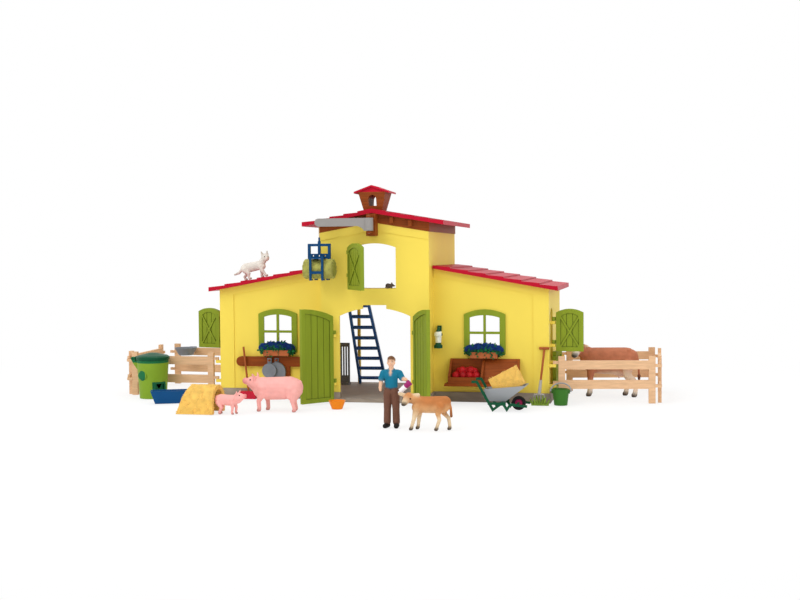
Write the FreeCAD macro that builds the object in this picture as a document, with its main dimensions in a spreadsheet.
import FreeCAD, Part
import math
import os
import Sketcher
from FreeCAD import Placement, Rotation, Vector

# Toy farm playset: a barn with an open back, its doors, hoist, fences, tools and figures.
# Millimetres. X runs along the front to the right, Y away from the viewer, Z up. The origin is
# on the floor, in the middle of the wings' front walls.

# Driving dimensions, one row each in the sheet
SIZES = {
    # barn shell
    "barn_width": 480, "barn_depth": 180, "tower_width": 156, "tower_out": 29, "wall": 4,
    "floor_thick": 5, "plinth_high": 14, "plinth_lip": 2, "plinth_thick": 8,
    "wing_eave_z": 155.7, "wing_eave_out": 13.3, "wing_fall": 0.181, "roof_thick": 6.2,
    "tile_lap": 1.8, "wing_tiles": 7, "roof_front": 11.3, "roof_back": 9, "roof_gap": 0.4,
    "tower_top": 238.4, "gable_fall": 0.172, "trim_high": 13, "trim_thick": 10,
    "tower_eave_out": 22.8, "tower_tiles": 5, "tower_roof_front": 12,
    "cornice_high": 11, "cornice_out": 1.2, "pilaster_wide": 21.4, "passage_top": 140,
    # openings
    "door_half": 51, "door_spring": 121.5, "door_rise": 11.3, "notch_half": 17, "notch_high": 4,
    "loft_half": 31, "loft_sill": 160, "loft_spring": 217, "loft_rise": 6, "loft_thick": 3,
    "loft_deep": 33,
    "window_x": 151, "window_half": 29, "window_sill": 68, "window_spring": 123,
    "window_rise": 6.8, "stile": 8, "muntin": 3.4, "frame_thick": 3, "frame_lap": 2.5,
    "side_door_y": 22, "side_door_wide": 36, "side_door_split": 70, "side_door_spring": 125,
    "side_door_rise": 5,
    # leaves and hinges
    "leaf_thick": 3, "leaf_rim": 6, "rim_proud": 1, "leaf_gap": 1, "brace": 2.4,
    "plank": 11, "groove_wide": 0.8, "groove_deep": 0.5,
    "hinge_gap": 5, "pin_radius": 1.5, "pin_fit": 0.05, "lug_radius": 2.7, "lug_high": 4,
    "knuckle_high": 5, "knuckle_play": 0.4, "leaf_floor": 2,
    "door_hinge_x": 57, "door_hinge_low": 26, "door_hinge_high": 94,
    "loft_hinge_low": 174, "loft_hinge_high": 206,
    "left_door_open": 129, "right_door_open": 122, "loft_door_open": 59,
    "right_upper_open": 92, "right_lower_open": 8, "left_upper_open": 75, "left_lower_open": 0,
    # cupola
    "cupola_y": -19, "cupola_seat": 5, "cupola_high": 28, "cupola_base_wide": 25,
    "cupola_top_wide": 39, "cupola_roof_wide": 50, "cupola_roof_rise": 9, "cupola_roof_thick": 2.4,
    "cupola_arch_half": 5.6, "cupola_arch_low": 9, "cupola_arch_high": 24,
    # hoist
    "post_wide": 13, "post_low": 233, "hoist_y": -56, "hoist_reach": 71, "arm_rise": 6.5,
    "arm_deep": 11.1, "arm_thick": 7, "arm_over_post": 7, "arm_hub": 6, "hoist_lug_high": 3,
    "cord_radius": 0.6, "cord_drop": 15, "hook_high": 5, "hook_radius": 1.3,
    "grab_wide": 32.5, "grab_frame_high": 21, "grab_bar": 3.6, "grab_stem": 3.4, "grab_low": 172.4,
    "tine_x": 8.5, "tine_thick": 3, "bale_radius": 13.5, "bale_long": 42, "bale_gap": 0.3,
    # fences
    "panel_long": 132, "panel_thick": 5, "post_wide_f": 9, "post_high_f": 65, "rail_low": 20,
    "rail_high": 47, "rail_deep": 12, "fence_arm": 6, "fence_pin_radius": 1.5,
    "fence_eye_radius": 3, "fence_eye_high": 4, "fence_hook_low": 24, "fence_hook_high": 52,
    "clip_out": 6.5, "front_clip_y": 4, "rear_clip_y": 150,
    "right_front_turn": 8.5, "left_front_turn": 1.8, "right_gate_turn": 90, "left_gate_turn": 93.5,
    "right_back_turn": 11, "left_back_turn": 6,
}


class Size:
    """A number of the sheet, or a sum made of them, with the text that binds it to the sheet."""

    def __init__(self, value, text):
        self.value = float(value)
        self.text = text

    def _join(self, other, sign, value, swap=False):
        a, b = (text(other), self.text) if swap else (self.text, text(other))
        return Size(value, f"({a} {sign} {b})")

    def __add__(self, other):
        return self._join(other, "+", self.value + num(other))

    def __radd__(self, other):
        return self._join(other, "+", num(other) + self.value, True)

    def __sub__(self, other):
        return self._join(other, "-", self.value - num(other))

    def __rsub__(self, other):
        return self._join(other, "-", num(other) - self.value, True)

    def __mul__(self, other):
        return self._join(other, "*", self.value * num(other))

    def __rmul__(self, other):
        return self._join(other, "*", num(other) * self.value, True)

    def __truediv__(self, other):
        return self._join(other, "/", self.value / num(other))

    def __neg__(self):
        return Size(-self.value, f"(-{self.text})")


def num(x):
    return x.value if isinstance(x, Size) else float(x)


def text(x):
    return x.text if isinstance(x, Size) else f"{float(x):.6f}"


def root(x):
    return Size(math.sqrt(num(x)), f"sqrt({text(x)})")


def vec(at):
    return Vector(*(num(c) for c in at))


doc = FreeCAD.newDocument("ToyFarm")
sheet = doc.addObject("Spreadsheet::Sheet", "Sizes")
NODES = []


class Sheet:
    """The named sizes, read as S.name."""


S = Sheet()


def fill_sheet(sizes, first_row=1):
    for row, (alias, value) in enumerate(sizes.items(), first_row):
        sheet.set(f"A{row}", alias)
        sheet.set(f"B{row}", str(value))
        sheet.setAlias(f"B{row}", alias)
        setattr(S, alias, Size(value, f"Sizes.{alias}"))
    return first_row + len(sizes)


next_row = fill_sheet(SIZES)
doc.recompute()

# Turns that stand a flat profile up: its x and y become X and Z, or Y and Z
FLAT = Rotation()
FRONT = Rotation(Vector(1, 0, 0), 90)
SIDE = Rotation(Vector(1, 1, 1), 120)
UP = Vector(0, 0, 1)


def bind(obj, prop, size):
    setattr(obj, prop, num(size))
    if isinstance(size, Size):
        obj.setExpression(prop, size.text)


def put(obj, at, turn=FLAT):
    obj.Placement = Placement(vec(at), turn)
    for axis, c in zip("xyz", at):
        if isinstance(c, Size):
            obj.setExpression(f"Placement.Base.{axis}", c.text)
    return obj


def add(kind, name, at=(0, 0, 0), turn=FLAT, **sizes):
    obj = doc.addObject(f"Part::{kind}", name)
    for prop, size in sizes.items():
        bind(obj, prop, size)
    return put(obj, at, turn)


def box(name, low, high):
    return add("Box", name, low, Length=high[0] - low[0], Width=high[1] - low[1],
               Height=high[2] - low[2])


def tube(name, at, radius, high, turn=FLAT):
    return add("Cylinder", name, at, turn, Radius=radius, Height=high)


def egg(name, at, rx, ry, rz, turn=FLAT):
    return add("Ellipsoid", name, at, turn, Radius1=rz, Radius2=rx, Radius3=ry)


def rod(name, start, end, r_start, r_end=None):
    """A round bar between two points, tapered when it has two radii."""
    a, b = vec(start), vec(end)
    turn = Rotation(UP, b - a)
    if r_end is None or num(r_end) == num(r_start):
        return add("Cylinder", name, start, turn, Radius=r_start, Height=(b - a).Length)
    return add("Cone", name, start, turn, Radius1=r_start, Radius2=r_end, Height=(b - a).Length)


def fuse(name, *objs):
    obj = doc.addObject("Part::MultiFuse", name)
    obj.Shapes = list(objs)
    obj.Refine = True
    return obj


def cut(name, base, *tools):
    obj = doc.addObject("Part::Cut", name)
    obj.Base = base
    obj.Tool = tools[0] if len(tools) == 1 else fuse(f"{name}_tools", *tools)
    return obj


def group(name, *objs):
    obj = doc.addObject("Part::Compound", name)
    obj.Links = list(objs)
    return obj


def node(obj, label):
    obj.Label = label
    NODES.append(obj)
    return obj


def arc_between(a, b, radius):
    """The shorter arc from a to b, turning left for a positive radius, and its end numbers."""
    chord = b - a
    r = abs(radius)
    sag = math.sqrt(max(r * r - chord.Length ** 2 / 4, 0))
    left = Vector(-chord.y, chord.x, 0).normalize()
    centre = (a + b) * 0.5 + left * (sag if radius > 0 else -sag)
    start, end = (a, b) if radius > 0 else (b, a)
    first = math.atan2(start.y - centre.y, start.x - centre.x)
    last = math.atan2(end.y - centre.y, end.x - centre.x)
    circle = Part.Circle(centre, UP, r)
    return Part.ArcOfCircle(circle, first, last), ((1, 2) if radius > 0 else (2, 1))


def draw(sketch, outline):
    """A closed outline of (x, y) corners; a third number is the radius of the arc that ends there."""
    base = sketch.GeometryCount
    count = len(outline)
    points = [Vector(num(p[0]), num(p[1]), 0) for p in outline]
    shapes, ends, rules = [], [], []
    for i, start in enumerate(points):
        target = outline[(i + 1) % count]
        end = points[(i + 1) % count]
        if len(target) == 3:
            shape, pair = arc_between(start, end, num(target[2]))
        else:
            shape, pair = Part.LineSegment(start, end), (1, 2)
        shapes.append(shape)
        ends.append(pair)
    sketch.addGeometry(shapes, False)
    exprs = []
    for i, corner in enumerate(outline):
        here, after = base + i, base + (i + 1) % count
        rules.append(Sketcher.Constraint("Coincident", here, ends[i][1], after, ends[(i + 1) % count][0]))
        for kind, c in zip(("DistanceX", "DistanceY"), corner):
            exprs.append((len(rules), c))
            rules.append(Sketcher.Constraint(kind, -1, 1, here, ends[i][0], num(c)))
        target = outline[(i + 1) % count]
        if len(target) == 3:
            size = target[2] if num(target[2]) > 0 else -target[2]
            exprs.append((len(rules), size))
            rules.append(Sketcher.Constraint("Radius", here, num(size)))
    first = sketch.ConstraintCount
    sketch.addConstraint(rules)
    for index, size in exprs:
        if isinstance(size, Size):
            sketch.setExpression(f"Constraints[{first + index}]", size.text)


def draw_circle(sketch, x, y, radius):
    index = sketch.addGeometry(Part.Circle(Vector(num(x), num(y), 0), UP, num(radius)), False)
    rules = (("DistanceX", -1, 1, index, 3, x), ("DistanceY", -1, 1, index, 3, y),
             ("Radius", index, radius))
    for rule in rules:
        place = sketch.addConstraint(Sketcher.Constraint(*rule[:-1], num(rule[-1])))
        if isinstance(rule[-1], Size):
            sketch.setExpression(f"Constraints[{place}]", rule[-1].text)


def sketch_in(body, loops, lift=0):
    sketch = body.newObject("Sketcher::SketchObject", f"{body.Name}_sketch")
    plane = next(f for f in body.Origin.OriginFeatures if f.Role == "XY_Plane")
    sketch.AttachmentSupport = [(plane, "")]
    sketch.MapMode = "FlatFace"
    if num(lift):
        sketch.AttachmentOffset = Placement(Vector(0, 0, num(lift)), FLAT)
        if isinstance(lift, Size):
            sketch.setExpression("AttachmentOffset.Base.z", lift.text)
    for loop in loops:
        if loop[0] == "circle":
            draw_circle(sketch, *loop[1:])
        else:
            draw(sketch, loop)
    return sketch


def plate(name, loops, thick, at=(0, 0, 0), turn=FLAT):
    """A padded profile with holes: the first loop is the outline."""
    body = doc.addObject("PartDesign::Body", name)
    pad = body.newObject("PartDesign::Pad", f"{name}_pad")
    pad.Profile = sketch_in(body, loops)
    bind(pad, "Length", thick)
    body.Tip = pad
    return put(body, at, turn)


def turned(name, outline, at=(0, 0, 0), turn=FRONT):
    """A profile of (radius, height) corners turned about its own upright."""
    body = doc.addObject("PartDesign::Body", name)
    spun = body.newObject("PartDesign::Revolution", f"{name}_turn")
    profile = sketch_in(body, [outline])
    spun.Profile = profile
    spun.ReferenceAxis = (profile, ["V_Axis"])
    spun.Angle = 360
    body.Tip = spun
    return put(body, at, turn)


def lofted(name, sections, at=(0, 0, 0), turn=FLAT, ruled=True):
    """A skin through outlines, each given with its height."""
    body = doc.addObject("PartDesign::Body", name)
    loft = body.newObject("PartDesign::AdditiveLoft", f"{name}_loft")
    sketches = [sketch_in(body, [outline], lift) for outline, lift in sections]
    loft.Profile = sketches[0]
    loft.Sections = sketches[1:]
    loft.Ruled = ruled
    body.Tip = loft
    return put(body, at, turn)


def rect(x0, y0, x1, y1):
    return [(x0, y0), (x1, y0), (x1, y1), (x0, y1)]


def arch_radius(half, rise):
    return (half * half + rise * rise) / (2 * rise)


def arch(half, low, spring, rise, x=0):
    """A doorway outline: straight jambs under a flat arch."""
    radius = arch_radius(half, rise)
    return [(x - half, low), (x + half, low), (x + half, spring), (x, spring + rise, radius),
            (x - half, spring, radius)]


def mirror_x(outline):
    """The same outline on the other side of x = 0, still drawn left to right."""
    return [(-p[0],) + tuple(p[1:2]) + tuple(-r for r in p[2:]) for p in outline]


# Barn shell

HALF = S.barn_width / 2
TOWER = S.tower_width / 2
TOWER_FRONT = -S.tower_out
WING_EAVE_X = HALF + S.wing_eave_out
TOWER_EAVE_X = TOWER + S.tower_eave_out
TRIM_TOP = S.tower_top + S.trim_high


def wing_under(x):
    """Height of a wing roof's underside at the distance x from the middle."""
    return S.wing_eave_z + (WING_EAVE_X - x) * S.wing_fall


def gable_under(x):
    """Height of the tower roof's underside at the distance x from the middle."""
    return TRIM_TOP + (TOWER - x) * S.gable_fall


def wall_top(x):
    return S.tower_top + (TOWER - x) * S.gable_fall


def base_floor():
    slab = plate("floor_slab", [[
        (-HALF, 0), (-TOWER, 0), (-TOWER, TOWER_FRONT), (TOWER, TOWER_FRONT), (TOWER, 0), (HALF, 0),
        (HALF, S.barn_depth), (-HALF, S.barn_depth)]], S.floor_thick)
    lip, thick = S.plinth_lip, S.plinth_thick
    right = [
        (S.door_half, TOWER_FRONT - lip), (TOWER + lip, TOWER_FRONT - lip), (TOWER + lip, -lip),
        (HALF + lip, -lip), (HALF + lip, S.barn_depth), (HALF + lip - thick, S.barn_depth),
        (HALF + lip - thick, thick - lip), (TOWER + lip - thick, thick - lip),
        (TOWER + lip - thick, TOWER_FRONT - lip + thick), (S.door_half, TOWER_FRONT - lip + thick)]
    plinths = [plate(f"plinth_{i}", [loop], S.plinth_high)
               for i, loop in enumerate((right, mirror_x(right)))]
    return node(fuse("base_floor_all", slab, *plinths), "base_floor")


def lug(name, at, web, radius, high, turn=0):
    """A flat eye on a web; the web points along -y before the turn about the upright."""
    loop = [(-radius, -web), (radius, -web), (radius, 0), (0, radius, radius), (-radius, 0, radius)]
    hole = ("circle", 0, 0, S.pin_radius + S.pin_fit)
    return plate(name, [loop, hole], high, at, Rotation(UP, turn))


def hinge_lugs(name, x, y, heights, turn):
    return [lug(f"{name}_lug_{i}", (x, y, z - S.lug_high / 2), S.hinge_gap + S.wall / 2,
                S.lug_radius, S.lug_high, turn) for i, z in enumerate(heights)]


SIDE_HINGE_Y = S.side_door_y - 3
SIDE_LOW_HINGES = (S.plinth_high + 9, S.side_door_split - 14)
SIDE_HIGH_HINGES = (S.side_door_split + 9, S.side_door_spring - 14)
SIDE_HINGE_X = HALF + S.hinge_gap
CLIP_X = HALF + S.clip_out
HOOK_HEIGHTS = (S.fence_hook_low, S.fence_hook_high)


def wing(label, sign):
    """One wing: front wall with its window, side wall with its door, hinge lugs and fence clips."""
    flip = mirror_x if sign < 0 else list
    front_outline = [(TOWER, S.plinth_high), (HALF, S.plinth_high), (HALF, wing_under(HALF)),
                     (TOWER, wing_under(TOWER))]
    window = arch(S.window_half - S.frame_lap, S.window_sill + S.frame_lap, S.window_spring,
                  S.window_rise - S.frame_lap, S.window_x)
    front = plate(f"{label}_front", [flip(front_outline), flip(window)], S.wall, (0, S.wall, 0), FRONT)
    inner = HALF - S.pilaster_wide
    band = [(TOWER + S.cornice_out, wing_under(TOWER + S.cornice_out) - S.cornice_high),
            (inner, wing_under(inner) - S.cornice_high), (inner, S.plinth_high), (HALF, S.plinth_high),
            (HALF, wing_under(HALF)), (TOWER + S.cornice_out, wing_under(TOWER + S.cornice_out))]
    trim = plate(f"{label}_band", [flip(band)], S.cornice_out, (0, 0, 0), FRONT)
    side_loops = [rect(0, S.plinth_high, S.barn_depth, wing_under(HALF)),
                  arch(S.side_door_wide / 2, S.plinth_high + 1, S.side_door_spring, S.side_door_rise,
                       S.side_door_y + S.side_door_wide / 2)]
    side = plate(f"{label}_side", side_loops, S.wall, (HALF - S.wall if sign > 0 else -HALF, 0, 0), SIDE)
    turn = -90 * sign
    lugs = hinge_lugs(label, SIDE_HINGE_X * sign, SIDE_HINGE_Y, SIDE_LOW_HINGES + SIDE_HIGH_HINGES, turn)
    clips = [lug(f"{label}_clip_{i}_{j}", (CLIP_X * sign, y, z - S.fence_eye_high / 2),
                 S.clip_out + S.wall / 2, S.fence_eye_radius, S.fence_eye_high, turn)
             for i, y in enumerate((S.front_clip_y, S.rear_clip_y)) for j, z in enumerate(HOOK_HEIGHTS)]
    return node(fuse(f"{label}_all", front, trim, side, *lugs, *clips), label)


DOOR_HINGE_Y = TOWER_FRONT - S.hinge_gap
LOFT_HINGE_X = -S.loft_half - S.lug_radius - 2
DOOR_HEIGHTS = (S.door_hinge_low, S.door_hinge_high)
LOFT_HEIGHTS = (S.loft_hinge_low, S.loft_hinge_high)
LOFT_BACK = TOWER_FRONT + S.loft_deep


def tower_shell():
    """The tall middle: gable front with door and loft hatch, side walls over wide passages, loft."""
    radius = arch_radius(S.door_half, S.door_rise)
    notch_z = S.door_spring + S.door_rise - radius + root(radius * radius - S.notch_half * S.notch_half)
    notch_top = S.door_spring + S.door_rise + S.notch_high
    half = [(S.door_half, S.plinth_high), (TOWER, S.plinth_high), (TOWER, wall_top(TOWER))]
    outline = ([(0, wall_top(0))] + mirror_x(half[::-1])
               + [(-S.door_half, S.door_spring), (-S.notch_half, notch_z, -radius),
                  (-S.notch_half, notch_top), (S.notch_half, notch_top), (S.notch_half, notch_z),
                  (S.door_half, S.door_spring, -radius)] + half)
    hatch = arch(S.loft_half, S.loft_sill, S.loft_spring, S.loft_rise)
    front = plate("tower_front", [outline, hatch], S.wall, (0, TOWER_FRONT + S.wall, 0), FRONT)
    edge = TOWER
    band = [(-edge, wall_top(edge) - S.cornice_high), (0, wall_top(0) - S.cornice_high),
            (edge, wall_top(edge) - S.cornice_high), (edge, wall_top(edge)), (0, wall_top(0)),
            (-edge, wall_top(edge))]
    cornice = plate("tower_cornice", [band], S.cornice_out, (0, TOWER_FRONT, 0), FRONT)
    heel = S.plinth_thick - S.plinth_lip
    side = [(TOWER_FRONT, S.plinth_high), (heel, S.plinth_high), (heel, S.passage_top),
            (S.barn_depth - heel, S.passage_top), (S.barn_depth - heel, S.floor_thick),
            (S.barn_depth, S.floor_thick), (S.barn_depth, S.tower_top), (TOWER_FRONT, S.tower_top)]
    sides = [plate(f"tower_side_{i}", [side], S.wall, (x, 0, 0), SIDE)
             for i, x in enumerate((TOWER - S.wall, -TOWER))]
    loft = box("loft_floor", (-TOWER + S.wall / 2, TOWER_FRONT + S.wall / 2, S.loft_sill - S.loft_thick),
               (TOWER - S.wall / 2, LOFT_BACK, S.loft_sill))
    lugs = (hinge_lugs("door_l", -S.door_hinge_x, DOOR_HINGE_Y, DOOR_HEIGHTS, 180)
            + hinge_lugs("door_r", S.door_hinge_x, DOOR_HINGE_Y, DOOR_HEIGHTS, 180)
            + hinge_lugs("hatch", LOFT_HINGE_X, DOOR_HINGE_Y, LOFT_HEIGHTS, 180))
    return node(fuse("tower_shell_all", front, cornice, *sides, loft, *lugs), "tower_shell")


def tile_steps(x_low, x_high, under, count):
    """Corners of the lapped tile courses, from the eave up to x_high."""
    steps = int(num(count))
    corners = []
    for i in range(steps):
        for j, thick in ((i, S.roof_thick), (i + 1, S.roof_thick - S.tile_lap)):
            x = x_low - (x_low - x_high) * j / steps
            corners.append((x, under(x) + thick))
    return corners


def wing_roof(label, sign):
    flip = mirror_x if sign < 0 else list
    inner = TOWER + S.cornice_out + S.roof_gap
    outline = ([(inner, wing_under(inner)), (WING_EAVE_X, S.wing_eave_z)]
               + tile_steps(WING_EAVE_X, inner, wing_under, S.wing_tiles))
    long = S.barn_depth + S.roof_back + S.roof_front
    return node(plate(f"{label}_roof", [flip(outline)], long, (0, S.barn_depth + S.roof_back, 0), FRONT),
                label)


def tower_roof():
    right = tile_steps(TOWER_EAVE_X, 0, gable_under, S.tower_tiles)[:-1]
    ridge = [(0, gable_under(0) + S.roof_thick)]
    outline = ([(-TOWER_EAVE_X, gable_under(TOWER_EAVE_X)), (0, gable_under(0)),
                (TOWER_EAVE_X, gable_under(TOWER_EAVE_X))] + right + ridge + mirror_x(right[::-1]))
    front = -TOWER_FRONT + S.tower_roof_front
    long = front + S.barn_depth + S.roof_back
    return node(plate("tower_roof_all", [outline], long, (0, S.barn_depth + S.roof_back, 0), FRONT),
                "tower_roof")


TRIM_FRONT = TOWER_FRONT - S.cornice_out - S.roof_gap
POST_FRONT = S.hoist_y + 10
ARM_FOOT = S.post_low + S.arm_over_post
ARM_LOW = ARM_FOOT + S.arm_rise
ARM_HIGH = ARM_LOW + S.arm_deep
HOIST_TOP = ARM_HIGH + S.knuckle_play


def gable_trim():
    """Brown timber under the tower roof: chevron, side beams, rafter ends, king post, hoist eyes."""
    edge = TOWER + S.cornice_out
    chevron = [(-edge, wall_top(edge)), (0, wall_top(0)), (edge, wall_top(edge)),
               (edge, gable_under(edge)), (0, gable_under(0)), (-edge, gable_under(edge))]
    front = plate("trim_front", [chevron], S.trim_thick, (0, TRIM_FRONT + S.trim_thick, 0), FRONT)
    inner = TOWER - S.wall - S.cornice_out
    beam = [(inner, S.tower_top), (edge, S.tower_top), (edge, gable_under(edge)), (inner, gable_under(inner))]
    long = S.barn_depth - TRIM_FRONT - S.trim_thick + S.wall
    beams = [plate(f"trim_side_{i}", [loop], long, (0, S.barn_depth, 0), FRONT)
             for i, loop in enumerate((beam, mirror_x(beam)))]
    half = S.post_wide / 2
    post = box("king_post", (-half, POST_FRONT, S.post_low), (half, TRIM_FRONT, gable_under(half)))
    blocks = []
    for i, x in enumerate((27, 53)):
        for sign in (-1, 1):
            top = gable_under(x + 3)
            blocks.append(box(f"rafter_{i}_{sign + 1}",
                              (x * sign - 2.5, TRIM_FRONT - S.tower_roof_front / 2, top - 9),
                              (x * sign + 2.5, TRIM_FRONT + S.wall, top)))
    reach = POST_FRONT - S.hoist_y + S.wall
    eyes = [lug(f"hoist_eye_{i}", (0, S.hoist_y, z), reach, S.lug_radius + 1, S.hoist_lug_high, 180)
            for i, z in enumerate((ARM_FOOT - S.hoist_lug_high - S.knuckle_play, HOIST_TOP))]
    return node(fuse("gable_trim_all", front, *beams, post, *blocks, *eyes), "gable_trim")


def cupola(roof):
    """Roof turret: a tapered house with a through arch, notched over the ridge, and its own roof."""
    low, high = S.cupola_base_wide / 2, S.cupola_top_wide / 2
    base_z = gable_under(0) + S.roof_thick - S.cupola_seat
    top_z = base_z + S.cupola_high
    house = lofted("cupola_house", [(rect(-low, -low, low, low), 0),
                                    (rect(-high, -high, high, high), S.cupola_high)],
                   (0, S.cupola_y, base_z))
    half = S.cupola_arch_half
    spring = base_z + S.cupola_arch_high - half
    arch_low = base_z + S.cupola_arch_low
    doorway = [(-half, arch_low), (half, arch_low), (half, spring), (0, spring + half, half),
               (-half, spring, half)]
    hole = plate("cupola_hole", [doorway], S.cupola_roof_wide, (0, S.cupola_y + S.cupola_roof_wide / 2, 0),
                 FRONT)
    node(cut("cupola_body_all", house, hole, roof), "cupola_body")
    eave, peak, thick = S.cupola_roof_wide / 2, S.cupola_roof_rise, S.cupola_roof_thick
    fall = peak / eave
    under = high * fall
    gable = [(-eave, under - peak), (0, under), (eave, under - peak), (eave, under - peak + thick),
             (0, under + thick), (-eave, under - peak + thick)]
    deep = S.cupola_roof_wide - 6
    cap = plate("cupola_cap", [gable], deep, (0, S.cupola_y + deep / 2, top_z), FRONT)
    infill = [(-high, 0), (high, 0), (0, under)]
    tymp = plate("cupola_tymp", [infill], S.cupola_top_wide, (0, S.cupola_y + high, top_z), FRONT)
    return node(fuse("cupola_roof_all", cap, tymp), "cupola_roof")


def windows():
    """Two arched window frames with a cross of glazing bars."""
    s, m = S.stile, S.muntin / 2
    radius = arch_radius(S.window_half, S.window_rise)
    top = S.window_spring + S.window_rise - s

    def crown(x):
        return top - radius + root(radius * radius - x * x)

    middle = (S.window_sill + top + 2 * S.window_rise / 3) / 2
    edge = S.window_half - s
    frames = []
    for i, sign in enumerate((-1, 1)):
        x = S.window_x * sign
        loops = [arch(S.window_half, S.window_sill, S.window_spring, S.window_rise, x)]
        for side in (-1, 1):
            a, b = x + m * side, x + edge * side
            loops.append(rect(a, S.window_sill + s, b, middle - m))
            loops.append([(a, middle + m), (b, middle + m), (b, crown(edge)), (a, crown(m), radius * side)])
        frames.append(plate(f"window_{i}", loops, S.frame_thick, (0, 0, 0), FRONT))
    return node(group("windows_all", *frames), "windows")


base_floor()
wing("wing_left", -1)
wing("wing_right", 1)
tower_shell()
wing_roof("roof_left", -1)
wing_roof("roof_right", 1)
roof_part = tower_roof()
gable_trim()
cupola(roof_part)
windows()


# Door leaves

LEAF_START = S.lug_radius + 0.6
LEAF_PROUD = S.leaf_thick + 2 * S.rim_proud


def leaf_outline(width, low, top, rise, inset):
    """A leaf's edge, drawn in by inset; the top is flat, a full arch or half of a wide arch."""
    x0, x1 = LEAF_START + inset, width - inset
    bottom = [(x0, low + inset), (x1, low + inset)]
    if rise == "flat":
        return bottom + [(x1, top - inset), (x0, top - inset)]
    if rise == "half":
        radius = arch_radius(S.door_half, S.door_rise)
        return bottom + [(x1, top + S.door_rise - inset), (x0, top - inset, radius)]
    half = (x1 - x0) / 2
    radius = arch_radius(half, rise)
    return bottom + [(x1, top - inset), (x0 + half, top + rise - inset, radius), (x0, top - inset, radius)]


def leaf(label, width, low, top, rise, heights, at, turn, braced):
    """A boarded leaf with a raised rim, knuckles and hinge pins; the hinge axis is its own upright."""
    outline = leaf_outline(width, low, top, rise, 0)
    board = plate(f"{label}_board", [outline], S.leaf_thick, (0, S.leaf_thick / 2, 0), FRONT)
    first = LEAF_START + S.leaf_rim
    planks = int(num(width - S.leaf_rim - first) / num(S.plank))
    step = (width - S.leaf_rim - first) / (planks + 1)
    face = S.leaf_thick / 2 - S.groove_deep
    grooves = []
    for i in range(1, planks + 1):
        x0 = first + step * i - S.groove_wide / 2
        for j, y0 in enumerate((-face - 2 * S.groove_deep, face)):
            grooves.append(box(f"{label}_groove_{i}_{j}", (x0, y0, low),
                               (x0 + S.groove_wide, y0 + 2 * S.groove_deep, top + S.door_rise)))
    panel = cut(f"{label}_panel", board, *grooves)
    inside = leaf_outline(width, low, top, rise, S.leaf_rim)
    rim = plate(f"{label}_rim", [outline, inside], LEAF_PROUD, (0, LEAF_PROUD / 2, 0), FRONT)
    pieces = [panel, rim]
    for i, z in enumerate(heights):
        foot = z + S.lug_high / 2 + S.knuckle_play
        arm = box(f"{label}_arm_{i}", (0, -S.leaf_thick / 2, foot),
                  (LEAF_START + S.leaf_rim / 2, S.leaf_thick / 2, foot + S.knuckle_high))
        knuckle = tube(f"{label}_knuckle_{i}", (0, 0, foot), S.lug_radius - 0.2, S.knuckle_high)
        pin_low = z - S.lug_high / 2 - S.knuckle_play
        pin = tube(f"{label}_pin_{i}", (0, 0, pin_low), S.pin_radius, foot - pin_low + 1)
        pieces += [arm, knuckle, pin]
    if braced:
        x0, x1 = num(LEAF_START + S.leaf_rim), num(width - S.leaf_rim)
        z0, z1 = num(low + S.leaf_rim), num(top - S.leaf_rim)
        slope = math.degrees(math.atan2(z1 - z0, x1 - x0))
        long = math.hypot(x1 - x0, z1 - z0) + num(S.brace)
        for i, angle in enumerate((slope, 180 - slope)):
            turn_up = Rotation(Vector(0, 1, 0), -angle)
            corner = Vector(long / 2, num(LEAF_PROUD) / 2, num(S.brace) / 2)
            start = Vector((x0 + x1) / 2, 0, (z0 + z1) / 2) - turn_up.multVec(corner)
            pieces.append(add("Box", f"{label}_brace_{i}", tuple(start), turn_up, Length=long,
                              Width=LEAF_PROUD, Height=S.brace))
    whole = fuse(f"{label}_all", *pieces)
    return node(put(whole, at, Rotation(UP, turn)), label)


def all_leaves():
    door_wide = S.door_hinge_x - S.leaf_gap / 2
    left_at, right_at = (-S.door_hinge_x, DOOR_HINGE_Y, 0), (S.door_hinge_x, DOOR_HINGE_Y, 0)
    leaf("door_left", door_wide, S.leaf_floor, S.door_spring, "half", DOOR_HEIGHTS, left_at,
         -num(S.left_door_open), False)
    leaf("door_right", door_wide, S.leaf_floor, S.door_spring, "half", DOOR_HEIGHTS, right_at,
         180 + num(S.right_door_open), False)
    leaf("loft_shutter", S.loft_half - LOFT_HINGE_X + 2, S.loft_sill - 1, S.loft_spring, S.loft_rise,
         LOFT_HEIGHTS, (LOFT_HINGE_X, DOOR_HINGE_Y, 0), -num(S.loft_door_open), True)
    side_wide = S.side_door_y + S.side_door_wide + 2 - SIDE_HINGE_Y
    upper_low = S.side_door_split + S.leaf_gap
    for side, sign, upper_open, lower_open in (("left", -1, S.left_upper_open, S.left_lower_open),
                                               ("right", 1, S.right_upper_open, S.right_lower_open)):
        at = (SIDE_HINGE_X * sign, SIDE_HINGE_Y, 0)
        leaf(f"side_door_{side}_upper", side_wide, upper_low, S.side_door_spring, S.side_door_rise,
             SIDE_HIGH_HINGES, at, 90 - sign * num(upper_open), True)
        leaf(f"side_door_{side}_lower", side_wide, S.plinth_high + S.leaf_gap, S.side_door_split, "flat",
             SIDE_LOW_HINGES, at, 90 - sign * num(lower_open), False)


# Hoist

GRAB_TOP = S.grab_low + 2 * S.tine_thick / 3 + 2 * S.bale_radius + 2 * S.bale_gap
CORD_LOW = ARM_LOW - S.cord_drop
HOOK_LOW = CORD_LOW - S.hook_high


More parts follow.
